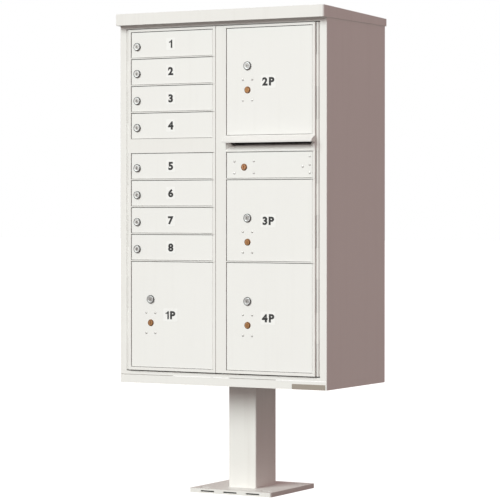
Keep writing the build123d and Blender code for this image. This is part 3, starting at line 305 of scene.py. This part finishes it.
# %% Dress the mechanical parts
NODE_FINISH = {
    "pedestal_base": pedestal_paint, "pedestal_post": pedestal_paint, "roof_cap": roof_paint,
    "pedestal_top_plate": zinc_steel, "pedestal_bolts": zinc_steel, "name_plate": plate_paint,
    "compartment_shelves": inner_sheet, "centre_partition": inner_sheet, "floor_pan": cabinet_paint,
    "mail_chute": inner_sheet, "mail_slot_trim": trim_paint, "mail_slot_hood": hood_paint_painted_shade,
    "master_hinge_leaves": hinge_paint, "master_hinge_pins": lock_steel,
    "left_door_hinge_rod": lock_steel, "right_door_hinge_rods": lock_steel,
    "master_latch_bar": zinc_steel, "collection_lock_bolt": zinc_steel,
    "collection_lock_core": core_copper,
}


def finish_of(node):
    if node in NODE_FINISH:
        return NODE_FINISH[node]
    for words, material in (("lock_case", lock_steel), ("lock_plug", plug_steel),
                            ("lock_core", core_brass), ("door", door_paint)):
        if words in node:
            return material
    return cabinet_paint


for node, part in frame["nodes"].items():
    wanted = finish_of(node)
    if not part.material_slots:
        part.data.materials.append(None)
    for holder in part.material_slots:
        holder.link = "OBJECT"
        holder.material = wanted
print(len(frame["nodes"]), "parts dressed")


# %% [markdown]
# ## Helpers for meshes
# Every added piece is built from rings of points. One ring is joined to the next by a band of
# four-sided faces, and a solid piece is closed at both ends. Three helpers do this for all of
# them, so that each piece below only has to say where its points are.

# %% Mesh helpers
def link(obj):
    bpy.context.scene.collection.objects.link(obj)
    return obj


def join_rings(mesh, here, there):
    """A band of faces between two closed rings with the same number of points."""
    count = len(here)
    for n in range(count):
        m = (n + 1) % count
        mesh.faces.new((here[n], here[m], there[m], there[n]))


def close_stack(mesh, rings):
    """Join rings in a row and close the first and the last."""
    for here, there in zip(rings, rings[1:]):
        join_rings(mesh, here, there)
    mesh.faces.new(rings[-1])
    mesh.faces.new(list(reversed(rings[0])))


def finish_mesh(name, mesh, crease=None):
    """Turn the faces outward and make the mesh; with crease, smooth all but sharper edges."""
    bmesh.ops.recalc_face_normals(mesh, faces=mesh.faces)
    data = bpy.data.meshes.new(name)
    mesh.to_mesh(data)
    mesh.free()
    if crease is not None:
        for face in data.polygons:
            face.use_smooth = True
        data.set_sharp_from_angle(angle=math.radians(crease))
    return data


print("mesh helpers ready")


# %% [markdown]
# ## Turned lock bezels
# A cam lock shows a polished round head: a flat face with a rolled shoulder and a shallow
# recess where the plug sits. Anything turned on a lathe is made the same way here: a short
# profile is spun about the lock's axis.

# %% Spin a profile
TURNED_CREASE = 38                     # degrees


def spin_piece(name, profile, centre, steps=56):
    """A closed ring from (radius, forward) pairs in millimetres, spun about the Y axis."""
    mesh = bmesh.new()
    rings = []
    for step in range(steps):
        angle = 2 * math.pi * step / steps
        ring = [mesh.verts.new(centre + Vector((r * math.cos(angle), -f, r * math.sin(angle))) * MM)
                for r, f in profile]
        rings.append(ring)
    for step in range(steps):
        join_rings(mesh, rings[step], rings[(step + 1) % steps])
    return link(bpy.data.objects.new(name, finish_mesh(name, mesh, TURNED_CREASE)))


# %% Where each lock is
def middle(node):
    low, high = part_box(node)
    return (Vector(low) + Vector(high)) / 2


def axis_of(joint_name):
    for joint in frame["record"]["behaviour"]["joints"]:
        if joint["name"] == joint_name:
            return Vector(joint["pos_m"])
    raise KeyError(joint_name)


FRAME_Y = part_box("left_master_frame")[0][1]
DOOR_RECESS = 2.4                      # small doors behind the frame face
FACE_Y = FRAME_Y + DOOR_RECESS * MM
print("small door face at", round(FACE_Y, 4))

# %% Bezels
# Each bezel is two turnings: an outer ring with a rolled shoulder, in a dark metal that is painted
# shade on that shoulder, and a bright dished face.
RING = ((0.80, 4.3), (0.86, 4.6), (0.93, 4.2), (0.98, 3.0), (1.0, 1.2), (1.0, 0.0), (0.80, 0.0))
FACE = ((6.15, 4.25), (6.6, 3.95), (7.4, 4.0), (8.2, 4.3), (9.4, 4.45), (10.6, 4.2), (10.6, 3.4),
        (6.15, 3.4))
FACE_BORE, FACE_RIM = FACE[0][0], FACE[5][0]
TENANT_BEZEL_RADIUS, PARCEL_BEZEL_RADIUS = 13.2, 13.9


def add_bezel(label, body, lock_axis, radius):
    centre = Vector((lock_axis.x, FACE_Y, lock_axis.z))
    ring = spin_piece(f"bezel_{label}", [(share * radius, f) for share, f in RING], centre)
    ring.data.materials.append(rim_shade_nickel)
    share = (radius * RING[0][0] - FACE_BORE) / (FACE_RIM - FACE_BORE)
    face_profile = [(FACE_BORE + (r - FACE_BORE) * share, f) for r, f in FACE]
    face = spin_piece(f"bezel_face_{label}", face_profile, centre)
    face.data.materials.append(chrome)
    for piece in (ring, face):
        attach(piece, body)


for n in range(1, 9):
    add_bezel(f"tenant_{n}", f"tenant_{n}", axis_of(f"tenant_lock_turn_{n}"), TENANT_BEZEL_RADIUS)
for n in range(1, 5):
    add_bezel(f"parcel_{n}", f"parcel_{n}", axis_of(f"parcel_lock_turn_{n}"), PARCEL_BEZEL_RADIUS)
print("12 bezels")

# %% [markdown]
# The carrier's locks are smaller and stand nearly flush. Each core shows a thin rolled collar,
# spun from one short profile in the same way, in a darker copy of the brass whose darkness is
# painted shade on the collar's rolled edge.

# %% Collars of the carrier locks
COLLAR_STEPS = 40
COLLAR = [(9.65, 0.0), (9.65, 0.5), (10.1, 0.8), (11.0, 0.65), (11.4, 0.2), (11.4, 0.0)]


def add_collar(label, body, core_axis):
    centre = Vector((core_axis.x, FACE_Y, core_axis.z))
    ring = spin_piece(f"collar_{label}", COLLAR, centre, COLLAR_STEPS)
    ring.data.materials.append(brass_collar_painted_shade)
    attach(ring, body)


for n in range(1, 5):
    add_collar(f"parcel_{n}", f"parcel_{n}", axis_of(f"carrier_lock_turn_{n}"))
add_collar("collection", "collection", axis_of("collection_lock_turn"))
print("5 collars")

# %% [markdown]
# ## Rivet caps
# The rivets that hold the lock cases belong to the painted door. A thin cap of worn steel covers
# each head, and its dark steel is painted shade round the small domed heads. All the caps of one
# door are one piece.

# %% Caps over the rivets
CAP_RADIUS, CAP_HEIGHT = 3.7, 1.7
LOW_CAP_HEIGHT = 1.4                   # beside the hinge, where the open door meets its frame
CAP_CREASE = 50                        # degrees
CAP_RINGS = ((1.0, 0.0), (1.0, 0.25), (0.88, 0.66), (0.64, 0.88), (0.3, 0.98))


def rivet_caps(name, places, sides=20):
    """Shallow domes on the door face, one at each (x, z, height); x and z are in metres."""
    mesh = bmesh.new()
    for x, z, height in places:
        centre = Vector((x, FACE_Y, z))
        levels = []
        for across, up in CAP_RINGS:
            levels.append([])
            for n in range(sides):
                angle = 2 * math.pi * n / sides
                way = Vector((math.cos(angle), 0, math.sin(angle))) * across * CAP_RADIUS
                levels[-1].append(mesh.verts.new(centre + (way - Vector((0, up * height, 0))) * MM))
        close_stack(mesh, levels)
    return link(bpy.data.objects.new(name, finish_mesh(name, mesh, CAP_CREASE)))


PARCEL_RIVETS = (17.0, 33.2)
COLLECTION_RIVETS = (35.7, 19.2)
EDGE_RIVET_INSET, EDGE_RIVET_PITCH, STOP_RIVET_INSET = 9.5, 26.7, 35.0


def around(axis, half_x, half_z):
    return [(axis.x + i * half_x * MM, axis.z + k * half_z * MM, CAP_HEIGHT)
            for i in (-1, 1) for k in (-1, 1)]


cap_places = {f"parcel_{n}": around(axis_of(f"carrier_lock_turn_{n}"), *PARCEL_RIVETS)
              for n in range(1, 5)}
door_low, door_high = (Vector(v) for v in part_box("collection_door"))
core = axis_of("collection_lock_turn")
edge_x = door_high.x - EDGE_RIVET_INSET * MM
edge_z = (door_low.z + door_high.z) / 2
cap_places["collection"] = around(core, *COLLECTION_RIVETS)
cap_places["collection"] += [(edge_x, edge_z + k * EDGE_RIVET_PITCH * MM, LOW_CAP_HEIGHT)
                             for k in (-1, 0, 1)]
cap_places["collection"].append((door_high.x - STOP_RIVET_INSET * MM, core.z, CAP_HEIGHT))
for body, places in cap_places.items():
    caps = rivet_caps(f"rivet_caps_{body}", places)
    caps.data.materials.append(rivet_cap_shade_steel)
    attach(caps, body)
print(sum(len(places) for places in cap_places.values()), "rivet caps")


# %% [markdown]
# ## Decals and numbers
# Each compartment carries a printed decal: a rounded rectangle of white vinyl, a quarter of a
# millimetre proud of the paint, with bold dark figures. The vinyl is one bevelled slab, and the
# figures are text turned to mesh so that they keep their edges when the doors swing.

# %% Vinyl and ink
vinyl = paint("decal_vinyl", (0.93, 0.93, 0.92), streaks=0.02, gloss=0.33, bump=0.03)
ink = paint("decal_ink", (0.02, 0.02, 0.021), soil=(0.1, 0.1, 0.1, 1), streaks=0.1, gloss=0.45, bump=0.05)
DECAL_LIFT, DECAL_CORNER = 0.25, 3.0
INK_LIFT = 0.12
CORNER_STEPS = 6


def rounded_slab(name, centre, width, height, radius, lift):
    """A thin upright slab with rounded corners whose front face is lift proud of the door."""
    mesh = bmesh.new()
    outline = []
    for corner in range(4):
        turn = math.pi / 2 * corner
        cx = (width / 2 - radius) * (1 if corner in (0, 3) else -1)
        cz = (height / 2 - radius) * (1 if corner in (0, 1) else -1)
        for step in range(CORNER_STEPS + 1):
            angle = turn + math.pi / 2 * step / CORNER_STEPS
            outline.append((cx + radius * math.cos(angle), cz + radius * math.sin(angle)))
    levels = []
    for inset, forward in ((0.0, 0.0), (0.0, lift * 0.6), (lift * 0.8, lift)):
        ring = []
        for x, z in outline:
            shrink = Vector((x, 0, z)).normalized() * inset
            place = Vector((x, -forward, z)) - shrink
            ring.append(mesh.verts.new(centre + place * MM))
        levels.append(ring)
    close_stack(mesh, levels)
    return link(bpy.data.objects.new(name, finish_mesh(name, mesh)))


# %% Figures
CAPITAL_SHARE = 0.72                   # height of a figure as a share of the type size
CURVE_STEPS = 5
ONE = ((0.25, 0.0), (0.47, 0.0), (0.47, 1.0), (0.31, 1.0), (0.26, 0.9), (0.17, 0.82), (0.0, 0.78),
       (0.0, 0.63), (0.25, 0.68))     # a numeral one with its flag, as shares of the height


def mesh_extent(data, axis):
    values = [v.co[axis] for v in data.vertices]
    return min(values), max(values)


def letter(sign, height, weight):
    """One upright figure as a mesh facing -Y, its foot at the origin."""
    if sign == "1":
        mesh = bmesh.new()
        face = mesh.faces.new([mesh.verts.new((x * height * MM, 0, z * height * MM)) for x, z in ONE])
        grown = bmesh.ops.extrude_face_region(mesh, geom=[face])["geom"]
        lift = Vector((0, -INK_LIFT * MM, 0))
        bmesh.ops.translate(mesh, vec=lift, verts=[g for g in grown if isinstance(g, bmesh.types.BMVert)])
        return finish_mesh("figure", mesh)
    curve = bpy.data.curves.new("figure", "FONT")
    curve.body = sign
    curve.size = height / CAPITAL_SHARE * MM
    curve.offset = weight * MM
    curve.extrude = INK_LIFT / 2 * MM
    curve.resolution_u = CURVE_STEPS
    text = link(bpy.data.objects.new("figure", curve))
    graph = bpy.context.evaluated_depsgraph_get()
    data = bpy.data.meshes.new_from_object(text.evaluated_get(graph))
    bpy.data.objects.remove(text)
    bpy.data.curves.remove(curve)
    data.transform(Matrix.Rotation(math.pi / 2, 4, "X"))
    low, high = mesh_extent(data, 2)
    data.transform(Matrix.Diagonal((1, 1, height * MM / (high - low), 1)))
    return data


def figures(name, words, centre, height, weight, spacing=4.6):
    """Bold upright figures side by side, standing on the plane of the decal."""
    joined = bmesh.new()
    across = 0.0
    for sign in words:
        data = letter(sign, height, weight)
        low, high = mesh_extent(data, 0)
        data.transform(Matrix.Translation((across - low, 0, -mesh_extent(data, 2)[0])))
        across += high - low + spacing * MM
        joined.from_mesh(data)
        bpy.data.meshes.remove(data)
    data = bpy.data.meshes.new(name)
    joined.to_mesh(data)
    joined.free()
    middle_now = Vector([sum(mesh_extent(data, axis)) / 2 for axis in range(3)])
    data.transform(Matrix.Translation(centre + Vector((0, -INK_LIFT / 2 * MM, 0)) - middle_now))
    return link(bpy.data.objects.new(name, data))


# %% Place the decals
NUMBER_HEIGHT = 27.0
NUMBER_WEIGHT = 1.9
NARROW_DECAL, WIDE_DECAL = (33.0, 40.0), (54.0, 42.0)


def add_decal(label, body, words, x, z, size):
    centre = Vector((x * MM, FACE_Y, z))
    slab = rounded_slab(f"decal_{label}", centre, *size, DECAL_CORNER, DECAL_LIFT)
    slab.data.materials.append(vinyl)
    face = centre + Vector((0, -DECAL_LIFT * MM, 0))
    print_on = figures(f"figures_{label}", words, face, NUMBER_HEIGHT, NUMBER_WEIGHT)
    print_on.data.materials.clear()
    print_on.data.materials.append(ink)
    for piece in (slab, print_on):
        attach(piece, body)


TENANT_DECAL_X = -186.3
for n in range(1, 9):
    add_decal(f"tenant_{n}", f"tenant_{n}", str(n), TENANT_DECAL_X, middle(f"tenant_door_{n}").z,
              NARROW_DECAL)
PARCEL_DECALS = {1: (75.4, -51.0), 2: (76.2, -52.0), 3: (76.5, -9.0), 4: (75.5, -53.0)}
for n, (across, drop) in PARCEL_DECALS.items():
    lock = axis_of(f"parcel_lock_turn_{n}")
    add_decal(f"parcel_{n}", f"parcel_{n}", f"{n}P", lock.x / MM + across, lock.z + drop * MM,
              WIDE_DECAL)
print("12 decals")


# %% [markdown]
# ## Weather seals
# A thin black rubber bead is bonded to the frame round three sides of every small opening. It
# keeps rain out, and its black is painted shade that darkens the joint lines. The hinge side stays
# free for the rolled edge.

# %% Seals round the openings
# The rubber is black: painted shade deep in the joints round the small doors.
gap_shade_rubber = paint("seal_rubber_gap_shade", (0.02, 0.02, 0.022), soil=(0.08, 0.07, 0.06, 1), streaks=0.2, gloss=0.6,
               bump=0.1)
SEAL_THICKNESS = 0.6
SEAL_SETBACK = 1.0                     # behind the faces of the small doors
SEAL_PROFILE = ((0.0, 0.0), (0.7, 0.25), (1.0, 0.9), (1.0, 5.2), (0.7, 5.8), (0.0, 6.1))
SIDE_GAP, BOTTOM_GAP, TOP_GAP = 1.5, 1.1, 1.9


def bead(name, corners, inward, front):
    """A rubber strip along a broken line in the X-Z plane; inward holds one direction per corner."""
    mesh = bmesh.new()
    sections = []
    for (x, z), (dx, dz) in zip(corners, inward):
        sections.append([])
        for share, y in SEAL_PROFILE:
            thick = share * SEAL_THICKNESS
            sections[-1].append(mesh.verts.new(Vector((x + dx * thick, front + y, z + dz * thick)) * MM))
    close_stack(mesh, sections)
    return link(bpy.data.objects.new(name, finish_mesh(name, mesh)))


def add_seal(node, body, reach_right):
    low, high = (Vector(v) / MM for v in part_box(node))
    left, right = low.x - SIDE_GAP, high.x - reach_right
    under, over = low.z - BOTTOM_GAP, high.z + TOP_GAP
    corners = ((right, under), (left, under), (left, over), (right, over))
    inward = ((0, 1), (1, 1), (1, -1), (0, -1))
    seal = bead(f"seal_{node}", corners, inward, FACE_Y / MM + SEAL_SETBACK)
    seal.data.materials.append(gap_shade_rubber)
    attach(seal, body)


HINGE_SIDE_CLEAR = 9.0
for n in range(1, 9):
    add_seal(f"tenant_door_{n}", "left_master", HINGE_SIDE_CLEAR)
for n in range(1, 5):
    add_seal(f"parcel_door_{n}", "left_master" if n == 1 else "right_master", HINGE_SIDE_CLEAR)
add_seal("collection_door", "right_master", HINGE_SIDE_CLEAR)
print("13 seals")


# %% [markdown]
# ## The pad under the base
# A sheet of black neoprene lies inside the base pan, between the steel and the concrete. Its black
# is painted shade: it is what shows, dark, through the three slots in the front edge, where the
# inside of the closed pan lies in shade. Its rim is uneven, because such a pad is cut by hand.

# %% Neoprene pad
# The pad's black is painted shade for the dark inside of the base pan.
neoprene_slot_shade = paint("neoprene_slot_shade", (0.03, 0.03, 0.032), soil=(0.10, 0.09, 0.08, 1), streaks=0.2, gloss=0.7,
                 bump=0.3)
PAD_MARGIN, PAD_THICKNESS, PAD_EDGE = 6.4, 9.6, 0.8
PAD_WOBBLE, PAD_STEP = 0.3, 6.0        # how far the cut wanders, and the length of one facet
LONG_WAVE, SHORT_WAVE, SIDE_SHIFT = 47, 130, 70                # of the wandering, per metre


def cut_sheet(name, low, high, thickness, wobble, step):
    """A flat sheet whose cut rim wanders a little, with a small rounded upper edge."""
    rim = []
    for (x0, y0), (x1, y1) in zip(((low.x, low.y), (high.x, low.y), (high.x, high.y), (low.x, high.y)),
                                  ((high.x, low.y), (high.x, high.y), (low.x, high.y), (low.x, low.y))):
        run = Vector((x1 - x0, y1 - y0, 0))
        inward = Vector((-run.y, run.x, 0)).normalized()
        count = int(run.length / (step * MM))
        for n in range(count):
            along = run * (n / count)
            waver = wobble * MM * (1 + math.sin(along.length * SHORT_WAVE + x0 * SIDE_SHIFT)
                                   * math.cos(along.length * LONG_WAVE))
            rim.append(Vector((x0, y0, 0)) + along + inward * waver)
    centre = (low + high) / 2
    mesh = bmesh.new()
    levels = []
    for height, inset in ((0.0, 0.0), (thickness - PAD_EDGE, 0.0), (thickness, PAD_EDGE)):
        levels.append([])
        for point in rim:
            shrink = Vector((centre.x - point.x, centre.y - point.y, 0)).normalized() * inset * MM
            levels[-1].append(mesh.verts.new(point + shrink + Vector((0, 0, low.z + height * MM))))
    close_stack(mesh, levels)
    return link(bpy.data.objects.new(name, finish_mesh(name, mesh)))


base_low, base_high = (Vector(v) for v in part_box("pedestal_base"))
inset = Vector((PAD_MARGIN, PAD_MARGIN, 0)) * MM
pad = cut_sheet("base_pad", base_low + inset, base_high - inset, PAD_THICKNESS, PAD_WOBBLE, PAD_STEP)
pad.data.materials.append(neoprene_slot_shade)
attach(pad, "cabinet")
print("pad", len(pad.data.polygons), "faces")


# %% [markdown]
# ## The floor
# The unit stands on a plain pale floor that meets the white behind it without an edge. The floor
# glows white for the camera only, so it sends no more light up under the cabinet than a real
# floor would.

# %% Floor
FLOOR_REACH = 60.0
FLOOR_COLOR = (0.34, 0.33, 0.32, 1)
WHITE = (1, 1, 1, 1)


def make_floor():
    data = bpy.data.meshes.new("floor")
    corners = [(i * FLOOR_REACH, k * FLOOR_REACH, 0) for i, k in ((-1, -1), (1, -1), (1, 1), (-1, 1))]
    data.from_pydata(corners, [], [(0, 1, 2, 3)])
    floor = link(bpy.data.objects.new("floor", data))
    material = bpy.data.materials.new("pale_floor")
    material.use_nodes = True
    shader = material.node_tree.nodes["Principled BSDF"]
    shader.inputs["Base Color"].default_value = FLOOR_COLOR
    shader.inputs["Roughness"].default_value = 0.9
    shader.inputs["Specular IOR Level"].default_value = 0.1
    shader.inputs["Emission Color"].default_value = WHITE
    rays = material.node_tree.nodes.new("ShaderNodeLightPath")
    glow = add_range(material.node_tree, rays.outputs["Is Camera Ray"], 0, 1, 0.0, 1.0)
    material.node_tree.links.new(glow, shader.inputs["Emission Strength"])
    data.materials.append(material)


make_floor()
print("floor reaches", FLOOR_REACH, "m each way")

# %% [markdown]
# ## The surroundings
# The light that comes from all round is dim and warm, and it alone colours the shaded side. The
# camera sees plain white instead, so the background stays clean whatever colour the shade has.

# %% World
SHADE_COLOR, SHADE_STRENGTH = (1.0, 0.71, 0.69, 1), 0.41

world = bpy.data.worlds.new("studio")
world.use_nodes = True
bpy.context.scene.world = world
sky = world.node_tree.nodes["Background"]
sky.inputs["Color"].default_value = SHADE_COLOR
sky.inputs["Strength"].default_value = SHADE_STRENGTH
backdrop = world.node_tree.nodes.new("ShaderNodeBackground")
backdrop.inputs["Color"].default_value = WHITE
backdrop.inputs["Strength"].default_value = 1.0
chooser = world.node_tree.nodes.new("ShaderNodeMixShader")
rays = world.node_tree.nodes.new("ShaderNodeLightPath")
world.node_tree.links.new(rays.outputs["Is Camera Ray"], chooser.inputs["Fac"])
world.node_tree.links.new(sky.outputs["Background"], chooser.inputs[1])
world.node_tree.links.new(backdrop.outputs["Background"], chooser.inputs[2])
world.node_tree.links.new(chooser.outputs["Shader"], world.node_tree.nodes["World Output"].inputs["Surface"])
print("world", world.name)


# %% [markdown]
# ## The key light
# One large soft light stands in front and a little to the left, so that the doors are bright, the
# right side falls into shade, and the roof and the cabinet throw soft shadows on the header
# and the post. A sun lamp with a wide spread keeps the light even from top to bottom.

# %% Lights
KEY_BEARING = 17.0          # degrees to the left of the doors
KEY_HEIGHT = 30.0           # degrees above the horizon
KEY_SPREAD = 40.0           # how large the light looks from the unit, in degrees
KEY_ENERGY, KEY_COLOR = 2.68, (0.90, 1.0, 0.97)

lamp_data = bpy.data.lights.new("key", "SUN")
lamp_data.energy = KEY_ENERGY
lamp_data.angle = math.radians(KEY_SPREAD)
lamp_data.color = KEY_COLOR
lamp = link(bpy.data.objects.new("key", lamp_data))
lamp.rotation_euler = (math.radians(90 - KEY_HEIGHT), 0, math.radians(-KEY_BEARING))
bpy.context.scene.view_settings.view_transform = "Standard"
print("lights placed")
